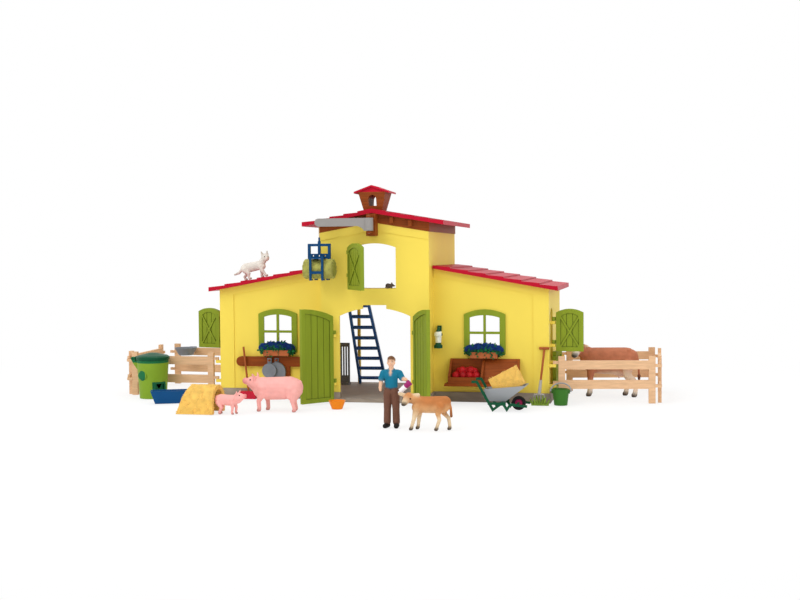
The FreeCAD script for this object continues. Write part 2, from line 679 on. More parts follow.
def hoist():
    """A swing arm on an upright pin, a cord, a hook and a grab that holds a round bale."""
    reach, y = S.hoist_reach, S.hoist_y
    tip = (ARM_HIGH - ARM_LOW) / 2
    middle = ARM_LOW + tip
    gusset = 14
    outline = [(0, ARM_FOOT), (0, ARM_HIGH), (-reach, ARM_HIGH), (-reach - tip, middle, tip),
               (-reach, ARM_LOW, tip), (-S.arm_hub - gusset, ARM_LOW),
               (-S.arm_hub, ARM_FOOT, -arch_radius(gusset, gusset))]
    arm = plate("arm_bar", [outline], S.arm_thick, (0, y + S.arm_thick / 2, 0), FRONT)
    hub = tube("arm_hub", (0, y, ARM_FOOT), S.arm_hub, ARM_HIGH - ARM_FOOT)
    pin_low = ARM_FOOT - S.hoist_lug_high - 2 * S.knuckle_play
    pin = tube("arm_pin", (0, y, pin_low), S.pin_radius,
               HOIST_TOP + S.hoist_lug_high + S.knuckle_play - pin_low)
    node(fuse("crane_arm_all", arm, hub, pin), "crane_arm")
    node(tube("cord_run", (-reach, y, CORD_LOW), S.cord_radius, S.cord_drop), "hoist_cord")

    half, bar = S.grab_wide / 2, S.grab_bar
    frame_top = GRAB_TOP + S.grab_frame_high
    stem = S.grab_stem / 2
    plate_high = bar * 2
    loops = [rect(-half, GRAB_TOP, half, frame_top),
             rect(-half + bar, GRAB_TOP + plate_high, -stem, frame_top - bar),
             rect(stem, GRAB_TOP + plate_high, half - bar, frame_top - bar)]
    loops += [("circle", x, GRAB_TOP + bar * 1.2, bar / 3) for x in (-S.tine_x, 0, S.tine_x)]
    deep = S.bale_radius + S.bale_gap
    frame = plate("grab_frame", loops, bar, (-reach, y + bar / 2, 0), FRONT)
    hook = tube("hook_shank", (-reach, y, HOOK_LOW), S.hook_radius, S.hook_high)
    pieces = [frame, hook, box("grab_stem", (-reach - stem, y - stem, frame_top - bar),
                               (-reach + stem, y + stem, HOOK_LOW))]
    for i, side in enumerate((-1, 1)):
        face = (deep, deep + S.tine_thick) if side > 0 else (-deep - S.tine_thick, -deep)
        for j, x in enumerate((-S.tine_x, S.tine_x)):
            left, right = x - S.tine_thick / 2 - reach, x + S.tine_thick / 2 - reach
            pieces.append(box(f"tine_{i}_{j}", (left, y + face[0], S.grab_low),
                              (right, y + face[1], GRAB_TOP + bar)))
            inner = (y + face[0] - 6, y + face[0] + 1) if side > 0 else (y + face[1] - 1, y + face[1] + 6)
            pieces.append(box(f"tine_foot_{i}_{j}", (left, inner[0], S.grab_low),
                              (right, inner[1], S.grab_low + 2 * S.tine_thick / 3)))
        low = S.grab_low + S.bale_radius * 2 / 3
        pieces.append(box(f"grab_bar_{i}", (-S.tine_x - reach, y + face[0], low),
                          (S.tine_x - reach, y + face[1], low + bar)))
        pieces.append(box(f"grab_arm_{i}",
                          (-S.tine_x - S.tine_thick / 2 - reach, y + (face[0] if side < 0 else 0), GRAB_TOP),
                          (S.tine_x + S.tine_thick / 2 - reach, y + (face[1] if side > 0 else 0),
                           GRAB_TOP + bar / 2)))
    node(fuse("bale_grab_all", *pieces), "bale_grab")
    bale_z = S.grab_low + 2 * S.tine_thick / 3 + S.bale_gap + S.bale_radius
    edge = 2
    profile = [(0, 0), (S.bale_radius - edge, 0), (S.bale_radius, edge, edge),
               (S.bale_radius, S.bale_long - edge),
               (S.bale_radius - edge, S.bale_long, edge), (0, S.bale_long)]
    node(turned("round_bale_all", profile, (-reach - S.bale_long / 2, y, bale_z), Rotation(UP, -90)),
         "round_bale")


# Fences

def panel(label, at, turn):
    """A two-rail fence panel: pins on one post drop into eyes, eyes on the other take the next one."""
    x0, x1 = S.fence_arm, S.fence_arm + S.panel_long
    a, b = x0 + S.post_wide_f, x1 - S.post_wide_f
    low_top, high_top = S.rail_low + S.rail_deep, S.rail_high + S.rail_deep
    outline = [(x0, 0), (a, 0), (a, S.rail_low), (b, S.rail_low), (b, 0), (x1, 0), (x1, S.post_high_f),
               (b, S.post_high_f), (b, high_top), (a, high_top), (a, S.post_high_f), (x0, S.post_high_f)]
    boards = plate(f"{label}_boards", [outline, rect(a, low_top, b, S.rail_high)], S.panel_thick,
                   (0, S.panel_thick / 2, 0), FRONT)
    pieces = [boards]
    for i, z in enumerate(HOOK_HEIGHTS):
        foot = z + S.fence_eye_high / 2 + S.knuckle_play
        low = z - S.fence_eye_high / 2 - S.knuckle_play
        pieces.append(box(f"{label}_hook_{i}", (-S.fence_pin_radius, -S.panel_thick / 3, foot),
                          (x0 + 1, S.panel_thick / 3, foot + S.fence_eye_high)))
        pieces.append(tube(f"{label}_pin_{i}", (0, 0, low), S.fence_pin_radius, foot - low + 1))
        pieces.append(lug(f"{label}_eye_{i}", (x1 + S.fence_arm, 0, z - S.fence_eye_high / 2),
                          S.fence_arm + 1,
                          S.fence_eye_radius, S.fence_eye_high, -90))
    whole = fuse(f"{label}_all", *pieces)
    return node(put(whole, at, Rotation(UP, turn)), label)


def far_eye(at, turn):
    """Where a panel's outer eyes stand."""
    long = num(S.panel_long + 2 * S.fence_arm)
    return (num(at[0]) + long * math.cos(math.radians(turn)),
            num(at[1]) + long * math.sin(math.radians(turn)), 0)


def fences():
    for side, sign, front_turn, gate_turn, back_turn in (
            ("left", -1, 180 - num(S.left_front_turn), num(S.left_gate_turn), 180 - num(S.left_back_turn)),
            ("right", 1, num(S.right_front_turn), num(S.right_gate_turn), num(S.right_back_turn))):
        start = (CLIP_X * sign, S.front_clip_y, 0)
        panel(f"fence_{side}_front", start, front_turn)
        panel(f"fence_{side}_gate", far_eye(start, front_turn), gate_turn)
        panel(f"fence_{side}_back", (CLIP_X * sign, S.rear_clip_y, 0), back_turn)


all_leaves()
hoist()
fences()


# Wall fittings and tools

THINGS = {
    "box_long": 38, "box_high": 8.3, "box_deep": 9.5, "box_low": 62.4, "box_wall": 1.2, "foliage_half": 26,
    "rack_left": -213.5, "rack_right": -116, "rack_low": 46.6, "rack_high": 60.8, "rack_thick": 5,
    "big_pan": 14, "small_pan": 10.5, "pan_deep": 3.6, "pan_skin": 1.2, "peg": 1.5,
    "stand_left": 103, "stand_right": 200, "stand_board": 3, "stand_out": 26, "stand_low": 28,
    "stand_top": 61,
    "stand_lip": 9, "stand_flare": 5, "apple": 5.6,
    "lantern_x": 87, "lantern_y": -11, "lantern_low": 76, "lantern_radius": 6,
    "ladder_foot": 45, "ladder_head": 31, "ladder_rail": 4, "ladder_thick": 4, "ladder_rungs": 9,
    "rung_deep": 3.4,
    "ladder_foot_x": -49.5, "ladder_head_x": -36, "ladder_foot_y": 160,
    "hay_rack_left": -99, "hay_rack_right": -84, "hay_rack_top": 70, "hay_rack_y": 147, "hay_rack_thick": 4,
    "feeder_x": -338, "feeder_y": -21, "feeder_low_r": 19.5, "feeder_top_r": 23, "feeder_high": 56,
    "feeder_wall": 2.4, "lid_radius": 24.4, "lid_play": 0.4, "lid_high": 9.6, "lid_hinge_y": 28.2,
    "trough_long": 70, "trough_wide": 24, "trough_high": 18, "trough_wall": 2.2,
    "shelter_mouth": -181, "shelter_long": 53, "shelter_half": 22.5, "shelter_y": -160.5, "shelter_high": 37,
    "shelter_wall": 6,
    "barrow_y": -72, "barrow_wheel_x": 206.5, "wheel_radius": 9.2, "wheel_wide": 5, "axle": 1.5,
    "tub_low": 12, "tub_high": 36, "tub_wall": 1.6,
    "rail_wide": 3.2, "rail_thick": 3, "rail_apart": 18, "bale_block_long": 40, "bale_block_wide": 18,
    "bale_block_high": 26, "bale_block_tip": 28,
    "bucket_out": 17, "bucket_y": -14, "bucket_top": 11.6, "bucket_foot": 9, "bucket_high": 22,
    "bucket_wall": 1.2, "bail_radius": 14, "bail_wire": 0.9, "bail_z": 19, "bail_lean": 45,
    "bowl_x": -35.5, "bowl_y": -99.6, "bowl_radius": 11.5, "bowl_high": 11.5,
    "grey_bowl": 18, "grey_bowl_high": 12, "bowl_wall": 1.5,
}
next_row = fill_sheet(THINGS, next_row)
doc.recompute()
FIT_GAP = 0.3


def flower_boxes():
    """A trough under each window on a cleat, and its flowering plants."""
    boxes, plants = [], []
    for i, sign in enumerate((-1, 1)):
        x, half, wall = S.window_x * sign, S.box_long / 2, S.box_wall
        back = -S.frame_thick - FIT_GAP
        front, high = back - S.box_deep, S.box_low + S.box_high
        outer = box(f"planter_{i}", (x - half, front, S.box_low), (x + half, back, high))
        inner = box(f"planter_hollow_{i}", (x - half + wall, front + wall, S.box_low + wall),
                    (x + half - wall, back - wall, high + wall))
        shell = cut(f"planter_shell_{i}", outer, inner)
        cleat = box(f"planter_cleat_{i}", (x - half, back - wall / 2, S.box_low),
                    (x + half, 0, S.window_sill - FIT_GAP))
        boxes.append(fuse(f"planter_all_{i}", shell, cleat))
        root_ball = box(f"root_ball_{i}",
                        (x - half + wall + FIT_GAP, front + wall + FIT_GAP, S.box_low + wall),
                        (x + half - wall - FIT_GAP, back - wall - FIT_GAP, high + 1))
        crown_y = front + S.box_deep / 2
        reach = S.foliage_half
        bushes = [egg(f"bush_{i}_{j}", (x + reach * at, crown_y, high + lift), reach * wide, S.box_deep / 2,
                      tall)
                  for j, (at, wide, lift, tall) in enumerate(
                      ((-0.72, 0.28, 1.5, 7), (-0.3, 0.27, 4.5, 6.5), (0.1, 0.28, 3.5, 7.5),
                       (0.42, 0.26, 4.5, 6),
                       (0.74, 0.26, 1, 7)))]
        room = box(f"planter_room_{i}", (x - half - FIT_GAP, front - FIT_GAP, S.box_low),
                   (x + half + FIT_GAP, 0, high))
        plants.append(fuse(f"plant_all_{i}", cut(f"plant_top_{i}", fuse(f"bushes_{i}", *bushes), room),
                           root_ball))
    node(group("flower_boxes_all", *boxes), "flower_boxes")
    node(group("flower_plants_all", *plants), "flower_plants")


def pan(name, x, z, radius, back, hang):
    """A shallow pan hung flat by a tab on its rim."""
    deep, skin = S.pan_deep, S.pan_skin
    profile = [(0, 0), (radius, 0), (radius, deep), (radius - skin, deep), (radius - skin, skin), (0, skin)]
    dish = turned(f"{name}_dish", profile, (x, back - deep, z), Rotation())
    high = hang - z + S.peg * 2
    loops = [rect(-S.peg * 2, radius - skin, S.peg * 2, high),
             ("circle", 0, hang - z, S.peg + FIT_GAP)]
    tab = plate(f"{name}_tab", loops, skin, (x, back, z), FRONT)
    return fuse(f"{name}_all", dish, tab)


def tool_rack():
    """A board with pegs on the left wing, and two pans that hang on it."""
    middle = (S.rack_low + S.rack_high) / 2
    half = (S.rack_high - S.rack_low) / 2
    board = box("rack_board", (S.rack_left + half, -S.rack_thick, S.rack_low), (S.rack_right, 0, S.rack_high))
    boss = tube("rack_boss", (S.rack_left + half, 0, middle), half, S.rack_thick + 1.5, FRONT)
    arm = box("rack_bracket", (-139, -S.rack_thick, 32.5), (-133, 0, S.rack_low + 1))
    big_y = -S.rack_thick - FIT_GAP
    small_y = big_y - S.pan_deep - FIT_GAP
    big_x, small_x, hang = -152, -161.5, 56
    big_peg = tube("big_peg", (big_x, -1, hang), S.peg, S.rack_thick + 3, FRONT)
    small_peg = tube("small_peg", (small_x, -1, hang), S.peg, S.rack_thick + 7, FRONT)
    node(fuse("tool_rack_all", board, boss, arm, big_peg, small_peg), "tool_rack")
    pans = (pan("big_pan_piece", big_x, 39, S.big_pan, big_y, hang),
            pan("small_pan_piece", small_x, 41, S.small_pan, small_y, hang))
    node(group("rack_pans_all", *pans), "rack_pans")


def produce_stand():
    """A display on the right wing: a bin of apples, a plain sloping board beside it, a flared foot board."""
    out, board, low, top = S.stand_out, S.stand_board, S.stand_low, S.stand_top
    lip = low + S.stand_lip
    middle = (S.stand_left + S.stand_right) / 2
    cheek = [(0, low), (0, top), (-board - 1, top), (-out, lip + 2), (-out, low)]
    floor = [(0, low), (0, low + board * 2), (-out, low + board), (-out, low)]
    front = [(-out + board, low), (-out + board, lip), (-out, lip), (-out, low)]
    back = [(0, low), (0, top), (-board, top), (-board, low)]
    slope = [(0, low), (0, top), (-board, top), (-out + board, low + board), (-out + board, low)]
    rim = [(0, low), (0, top), (-board - 2, top), (-out, low + board + 2), (-out, low)]
    foot = [(0, low - board), (0, low), (-out, low), (-out - S.stand_flare, low - board)]
    left, right, flare = S.stand_left, S.stand_right, S.stand_flare
    parts = ((cheek, left, left + board), (cheek, middle - board, middle), (floor, left, middle),
             (front, left, middle), (back, left, middle), (slope, middle, right), (rim, right - board, right),
             (foot, left - flare, right + flare / 2))
    pieces = [plate(f"stand_piece_{i}", [loop], end - start, (start, 0, 0), SIDE)
              for i, (loop, start, end) in enumerate(parts)]
    node(fuse("produce_stand_all", *pieces), "produce_stand")
    r = S.apple
    heap_y, heap_z = -out + board + FIT_GAP + r, low + board + 3.5
    apples = []
    for i, (along, deep, up) in enumerate(((0, 0, 4), (1, 0, 4.4), (2, 0, 4), (3, 0, 4.2), (0.4, 1, 9),
                                           (1.5, 1, 9.6),
                                           (2.6, 1, 9), (0.9, 0.5, 11), (2.1, 0.5, 11.2))):
        at = (S.stand_left + board + r + 1 + along * 9.6, heap_y + deep * 7.4, heap_z + up)
        apples.append(add("Sphere", f"apple_{i}", at, Radius=r))
    bed_front, bed_back, seat = -out + board + FIT_GAP, -board - FIT_GAP, low + board
    bed = plate("apple_bed", [[(bed_front, seat + 0.7), (bed_back, seat + board), (bed_back, seat + 11),
                               (bed_front, seat + 5)]], 36, (S.stand_left + board + 2, 0, 0), SIDE)
    node(fuse("apples_all", bed, *apples), "apples")


def lantern():
    r, low = S.lantern_radius, S.lantern_low
    profile = [(0, 0), (r, 0), (r, 4), (r - 2, 6), (r - 1.4, 16), (r, 18), (r, 20), (2, 26), (1.5, 29),
               (0, 29)]
    body = turned("lantern_body", profile, (S.lantern_x, S.lantern_y, low))
    arm = box("lantern_arm", (S.lantern_x - 1.5, S.lantern_y, low + 26.5), (S.lantern_x + 1.5, 0, low + 29))
    shoe = box("lantern_shoe", (S.lantern_x - 3, -2, low + 21), (S.lantern_x + 3, 0, low + 31))
    node(fuse("lantern_all", body, arm, shoe), "lantern")


def ladder():
    """A tapered ladder that stands on the floor and leans on the loft's back edge."""
    thick, rail, deep = S.ladder_thick, S.ladder_rail, S.rung_deep
    foot = vec((S.ladder_foot_x, S.ladder_foot_y, S.floor_thick + thick * 0.425))
    head = vec((S.ladder_head_x, LOFT_BACK + thick * 0.7, S.loft_sill - thick * 0.35))
    up = head - foot
    long = up.Length
    up.normalize()
    across = Vector(-up.y, up.x, 0).normalize()
    normal = across.cross(up)

    def edge(y):
        return (S.ladder_foot + (S.ladder_head - S.ladder_foot) * (y / long)) / 2

    def inner(y):
        return edge(y) - rail

    count = int(num(S.ladder_rungs))
    step = long / count
    lows = [step * (i + 0.5) - num(deep) / 2 for i in range(count)]
    highs = [low + num(deep) for low in lows]
    first, last = lows[0], highs[-1]
    half = [(inner(first), first), (inner(0), 0), (edge(0), 0), (edge(long), long), (inner(long), long),
            (inner(last), last)]
    windows_in = [[(-inner(a), a), (inner(a), a), (inner(b), b), (-inner(b), b)]
                  for a, b in zip(highs[:-1], lows[1:])]
    start = foot - normal * (num(thick) / 2)
    node(plate("ladder_all", [half + mirror_x(half[::-1])] + windows_in, thick, tuple(start),
               Rotation(across, up, normal, "YXZ")), "ladder")


def hay_rack():
    x0, x1, y, thick = S.hay_rack_left, S.hay_rack_right, S.hay_rack_y, S.hay_rack_thick
    low, high = S.floor_thick, S.hay_rack_top
    loops = [rect(x0, low, x1, high)]
    loops += [rect(x0 + 2.4 + i * 4, low + 14, x0 + 4.6 + i * 4, high - 6) for i in range(3)]
    frame = plate("hay_rack_frame", loops, thick, (0, y + thick / 2, 0), FRONT)
    foot = box("hay_rack_foot", (x0, y - thick * 2, low), (x1, y + thick * 2, low + 3))
    node(fuse("hay_rack_all", frame, foot), "hay_rack")


def feeder():
    """A round feed bin with a spout, a bare oval badge and a hinged lid."""
    at, turn = (S.feeder_x, S.feeder_y, 0), Rotation(UP, 90)
    wall, high = S.feeder_wall, S.feeder_high
    top, low = S.feeder_top_r, S.feeder_low_r
    shell = turned("feeder_shell", [(0, 0), (low, 0), (top, high), (top - wall, high), (low - wall, wall),
                                    (0, wall)])
    spout_turn = Rotation(UP, 52 - 90)
    spout = [(-low - 3, 1), (-low + 4, 1), (-low + 4, 24), (-low - 1.6, 24), (-low - 3, 8)]
    mouth = [(-low - 2, 3), (-low + 1.6, 3), (-low + 1.6, 22), (-low - 3, 22), (-low - 4, 9)]
    chute = plate("feeder_chute", [spout], 18, spout_turn.multVec(Vector(-9, 0, 0)),
                  spout_turn.multiply(SIDE))
    chute_hole = plate("feeder_chute_hole", [mouth], 14, spout_turn.multVec(Vector(-7, 0, 0)),
                       spout_turn.multiply(SIDE))
    badge_turn = math.radians(-112 - 90)
    badge_r = 21.4
    badge = egg("feeder_badge", (badge_r * math.cos(badge_turn), badge_r * math.sin(badge_turn), 34),
                9, 1.6, 6, Rotation(UP, -22 - 90))
    hinge_y, hinge_z = S.lid_hinge_y, high + S.lid_play + 1.2
    hole = ("circle", hinge_y, hinge_z, S.pin_radius + S.pin_fit)
    ear = [(low, 40), (hinge_y, hinge_z - 6), (hinge_y + 3, hinge_z), (hinge_y, hinge_z + 3, 3),
           (hinge_y - 3, hinge_z, 3), (hinge_y - 4, hinge_z - 3.4), (low, hinge_z - 3.4)]
    ears = [plate(f"feeder_ear_{i}", [ear, hole], 3, (x, 0, 0), SIDE) for i, x in enumerate((-8, 5))]
    body = fuse("feeder_solid", shell, chute, badge, *ears)
    bin_room = turned("feeder_room", [(0, wall), (low - wall, wall), (top - wall, high + 1), (0, high + 1)])
    node(put(cut("feeder_body_all", body, bin_room, chute_hole), at, turn), "feeder_body")
    r, z0 = S.lid_radius, high + S.lid_play
    cap = turned("lid_cap", [(0, z0), (r, z0), (r, z0 + 4), (r - 3, z0 + 6), (6, z0 + S.lid_high),
                             (0, z0 + S.lid_high)])
    spine = [(r - 4, z0), (hinge_y, hinge_z - 2.4), (hinge_y + 2.4, hinge_z, 2.4),
             (hinge_y, hinge_z + 2.4, 2.4), (r - 4, z0 + 4)]
    knuckle = plate("lid_knuckle", [spine], 9, (-4.5, 0, 0), SIDE)
    pin = tube("lid_pin", (-8.4, hinge_y, hinge_z), S.pin_radius, 16.8, Rotation(Vector(0, 1, 0), 90))
    node(put(fuse("feeder_lid_all", cap, knuckle, pin), at, turn), "feeder_lid")


def tapered(name, low, high, z0, z1):
    """A straight-sided block from a low rectangle to a high one, each (half long, half wide)."""
    return lofted(name, [(rect(-low[0], -low[1], low[0], low[1]), z0),
                         (rect(-high[0], -high[1], high[0], high[1]), z1)])


def troughs():
    """Feed trough, straw shelter, two bowls."""
    long, wide, wall = S.trough_long / 2, S.trough_wide / 2, S.trough_wall
    outer = tapered("trough_outer", (long - 6, wide - 4), (long, wide), 0, S.trough_high)
    inner = tapered("trough_inner", (long - 6 - wall, wide - 4 - wall), (long - wall, wide - wall), wall,
                    S.trough_high + 0.01)
    node(put(cut("trough_all", outer, inner), (-280, -72, 0), Rotation(UP, 23)), "trough")

    half, high, skin = S.shelter_half, S.shelter_high, S.shelter_wall
    mound = plate("shelter_mound", [arch(half, 0, high - 17, 17, S.shelter_y)], S.shelter_long,
                  (S.shelter_mouth - S.shelter_long, 0, 0), SIDE)
    hollow = plate("shelter_hollow", [arch(half - skin, -1, high - 17 - skin / 2, 17 - skin / 2,
                                           S.shelter_y)], 37,
                   (S.shelter_mouth - 36, 0, 0), SIDE)
    slope = add("Box", "shelter_slope", (S.shelter_mouth - S.shelter_long - 24, S.shelter_y - half - 1, 0),
                Rotation(Vector(0, 1, 0), 22), Length=24, Width=half * 2 + 2, Height=80)
    node(cut("straw_shelter_all", mound, hollow, slope), "straw_shelter")

    wall = S.bowl_wall
    for label, r, tall in (("feed_bowl_orange", S.bowl_radius, S.bowl_high),
                           ("feed_bowl_grey", S.grey_bowl, S.grey_bowl_high)):
        profile = [(0, 0), (r * 0.62, 0), (r, tall), (r - wall, tall), (r * 0.62 - wall, wall), (0, wall)]
        if label == "feed_bowl_orange":
            node(turned(f"{label}_all", profile, (S.bowl_x, S.bowl_y, 0)), label)
            continue
        back, strap = S.panel_thick / 2 + FIT_GAP, S.bowl_wall
        x, rim = 106, S.rail_high + S.rail_deep + FIT_GAP + strap
        dish = turned(f"{label}_dish", profile, (x, back + strap + r, rim - tall))
        over = box(f"{label}_hook", (x - 5, -back - strap, rim - strap), (x + 5, back + strap * 2, rim))
        behind = box(f"{label}_lip", (x - 5, -back - strap, rim - 8), (x + 5, -back, rim))
        plate_in = box(f"{label}_back", (x - 5, back, rim - 8), (x + 5, back + strap * 2, rim))
        whole = fuse(f"{label}_all", dish, over, behind, plate_in)
        node(put(whole, (-CLIP_X, S.rear_clip_y, 0), Rotation(UP, 180 - num(S.left_back_turn))), label)


def strip(name, line, wide, thick, at):
    """A flat strip of one width that follows a bent line in X and Z."""
    points = [Vector(x, z, 0) for x, z in line]
    left, right = [], []
    for i, here in enumerate(points):
        before = (here - points[i - 1]).normalize() if i else None
        after = (points[i + 1] - here).normalize() if i + 1 < len(points) else None
        along = ((before or after) + (after or before)).normalize()
        side = Vector(-along.y, along.x, 0)
        reach = num(wide) / 2 / (Vector(-(after or before).y, (after or before).x, 0) * side)
        left.append(here + side * reach)
        right.append(here - side * reach)
    outline = [(p.x, p.y) for p in right + left[::-1]]
    return plate(name, [outline], thick, at, FRONT)


def barrow():
    """Wheelbarrow: two bent side rails with grips and feet, axle, wheel, tub and the straw bale in it."""
    y, axle_z, wheel_x = S.barrow_y, S.wheel_radius, num(S.barrow_wheel_x)
    wide, thick, apart = S.rail_wide, S.rail_thick, S.rail_apart
    foot_z = num(wide) * 0.6
    line = [(wheel_x - 60, 38.5), (wheel_x - 53, 38.5), (wheel_x - 32, foot_z), (wheel_x - 22, 9.4),
            (wheel_x - 18, 9.4), (wheel_x - 13.5, foot_z + 0.6), (wheel_x - 9, num(axle_z)),
            (wheel_x + 13, num(axle_z) - 2)]
    rest = [(wheel_x - 38.6, S.tub_low - wide / 2 - 0.2), (wheel_x - 15, S.tub_low - wide / 2 - 0.2)]
    rest = [(x, num(z)) for x, z in rest]
    pieces = []
    for i, low in enumerate((-apart - thick, apart)):
        at = (0, y + low + thick, 0)
        pieces += [strip(f"barrow_rail_{i}", line, wide, thick, at),
                   strip(f"barrow_rest_{i}", rest, wide, thick, at)]
    axle = tube("barrow_axle", (wheel_x, y + apart + 1, axle_z), S.axle, 2 * apart + 2, FRONT)
    bearer = box("barrow_bearer", (wheel_x - 22, y - apart - 1, S.tub_low - wide),
                 (wheel_x - 18, y + apart + 1, S.tub_low - 0.2))
    node(fuse("barrow_frame_all", *pieces, axle, bearer), "barrow_frame")
    hub, rim, web = 4, 6.4, 1.2
    side = S.wheel_wide / 2
    half = [(S.axle + S.pin_fit, side), (hub, side), (hub, web), (rim, web), (rim, side),
            (S.wheel_radius, side)]
    profile = half[::-1] + [(r, -z) for r, z in half]
    node(turned("barrow_wheel_all", profile, (S.barrow_wheel_x, y, axle_z), Rotation()), "barrow_wheel")
    wall, low, high = S.tub_wall, S.tub_low, S.tub_high
    foot = (wheel_x - 38.5, -9.5, wheel_x - 16.5, 9.5)
    brim = (wheel_x - 48.1, -17.2, wheel_x + 14.9, 17.2)

    def section(corners, inset):
        return rect(corners[0] + inset, corners[1] + inset, corners[2] - inset, corners[3] - inset)

    outer = lofted("tub_outer", [(section(foot, 0), low), (section(brim, 0), high)], (0, y, 0))
    inner = lofted("tub_inner", [(section(foot, wall), low + wall), (section(brim, wall), high + 0.01)],
                   (0, y, 0))
    brim_turn = Rotation(Vector(0, 1, 0), -5.7)
    above = add("Box", "tub_above", (wheel_x - 56.5, y - 30, low + 15), brim_turn, Length=90, Width=60,
                Height=30)
    node(cut("barrow_tub_all", outer, inner, above), "barrow_tub")
    long, deep, tall = S.bale_block_long, S.bale_block_wide, S.bale_block_high
    turn = Rotation(Vector(0, 1, 0), -num(S.bale_block_tip))
    start = Vector(wheel_x - 15.6, num(y), 37.72) - turn.multVec(vec((long / 2, deep / 2, tall / 2)))
    node(add("Box", "straw_bale_all", tuple(start), turn, Length=long, Width=deep, Height=tall), "straw_bale")


BUCKET_X = HALF + S.bucket_out


def hand_tools():
    """Broom, fork, the grass on it, and the bucket with its bail."""
    head = box("broom_head", (-204.5, -17, 0), (-181.5, -7.5, 11))
    neck = rod("broom_handle", (-193, -12.2, 9), (-202, -7.4, 75), 1.5)
    node(fuse("broom_all", head, neck), "broom")
    fork_x, fork_y, bar_z = HALF - 12, -18, 14
    shaft = rod("fork_shaft", (fork_x, fork_y, bar_z), (fork_x + 6, -3.3, 76), 1.5)
    socket = rod("fork_socket", (fork_x, fork_y, bar_z), (fork_x + 2, fork_y + 4.9, bar_z + 20), 2.4, 1.9)
    grip = rod("fork_grip", (fork_x - 1, -3.3, 76.5), (fork_x + 13, -3.3, 76.5), 1.8)
    bar = rod("fork_bar", (fork_x - 7, fork_y, bar_z), (fork_x + 7, fork_y, bar_z), 1.4)
    tines = [rod(f"fork_tine_{i}", (fork_x + x, fork_y, bar_z), (fork_x + x * 1.5, fork_y - 1, 0.5), 1.2, 0.6)
             for i, x in enumerate((-6.4, -2.2, 2.2, 6.4))]
    node(fuse("hay_fork_all", shaft, socket, grip, bar, *tines), "hay_fork")
    tuft = [box("grass_root", (fork_x - 10, fork_y - 8, 0), (fork_x + 13.5, fork_y - 1.65, 2.4))]
    blades = ((-8, -4, -2, 9), (-5, -2, -3, 12), (-2, -1, 0, 14), (1, 0, -3, 13), (4, 2, 0, 14),
              (7, 3, -3, 12),
              (11, 4, -1, 9), (-1, -3, 1, 11), (5, 4, 1, 11))
    for i, (x, dx, dy, high) in enumerate(blades):
        tuft.append(rod(f"grass_{i}", (fork_x + x, fork_y - 5, 1), (fork_x + x + dx, fork_y - 5 + dy, high),
                        2.2, 0.5))
    node(fuse("grass_clump_all", *tuft), "grass_clump")

    at = (BUCKET_X, S.bucket_y, 0)
    top, foot, high, wall = S.bucket_top, S.bucket_foot, S.bucket_high, S.bucket_wall
    pail = turned("pail", [(0, 0), (foot, 0), (top, high), (top - wall, high), (foot - wall, wall),
                           (0, wall)], at)
    ears = []
    hole = ("circle", 0, S.bail_z, S.bail_wire + S.pin_fit)
    for i, x in enumerate((-top - 0.9, top - 0.5)):
        ear = [(-2.2, S.bail_z - 3), (2.2, S.bail_z - 3), (2.2, S.bail_z), (0, S.bail_z + 2.2, 2.2),
               (-2.2, S.bail_z, 2.2)]
        ears.append(plate(f"pail_ear_{i}", [ear, hole], 1.4, (BUCKET_X + x, S.bucket_y, 0), SIDE))
    room = turned("pail_room", [(0, wall), (foot - wall, wall), (top - wall, high + 1), (0, high + 1)], at)
    holes = tube("pail_holes", (BUCKET_X - top * 2, S.bucket_y, S.bail_z), S.bail_wire + S.pin_fit, top * 4,
                 Rotation(Vector(0, 1, 0), 90))
    node(cut("bucket_all", fuse("pail_eared", pail, *ears), room, holes), "bucket")
    lean = 90 - num(S.bail_lean)
    hoop = add("Torus", "bail_hoop", (BUCKET_X, S.bucket_y, S.bail_z), Rotation(Vector(1, 0, 0), lean),
               Radius1=S.bail_radius, Radius2=S.bail_wire, Angle3=180)
    pins = [rod(f"bail_pin_{i}", (BUCKET_X + S.bail_radius * side, S.bucket_y, S.bail_z),
                (BUCKET_X + (S.bail_radius - 3.4) * side, S.bucket_y,
                 S.bail_z), S.bail_wire) for i, side in enumerate((-1, 1))]
    node(fuse("bucket_bail_all", hoop, *pins), "bucket_bail")


flower_boxes()
tool_rack()
produce_stand()
lantern()
ladder()
hay_rack()
feeder()
troughs()
barrow()
hand_tools()


# Figures, each built facing +x with its feet on z = 0

def trunk(name, outline, height, tilt=0):
    """A round body: (radius, x) corners turned about a level line at that height."""
    along = Rotation(Vector(0, 1, 0), 90 + tilt).multiply(FRONT)
    return turned(name, outline, (0, 0, height), along)


def figure(label, pieces, at, turn=FLAT, whole=()):
    """Bodies fused with balls, eggs and tapered rods: (centre, radius) or (start, end, two radii)."""
    shapes = list(whole)
    for i, piece in enumerate(pieces):
        name = f"{label}_{i}"
        if len(piece) == 4:
            shapes.append(rod(name, *piece))
        elif isinstance(piece[1], tuple):
            shapes.append(egg(name, piece[0], *piece[1]))
        else:
            shapes.append(add("Sphere", name, piece[0], Radius=piece[1]))
    return node(put(fuse(f"{label}_all", *shapes), at, turn), label)


def legs(front, back, half, top, hip, foot):
    """Four tapered legs down to the floor."""
    return [((x, y, top), (x, y, 0), hip, foot) for x in (front, -back) for y in (-half, half)]


def beast(label, outline, height, tilt, pieces, at, turn):
    """A four-legged figure: its turned trunk and what grows from it."""
    figure(label, pieces, at, turn, [trunk(f"{label}_trunk", outline, height, tilt)])


LEFT = Rotation(UP, 180)


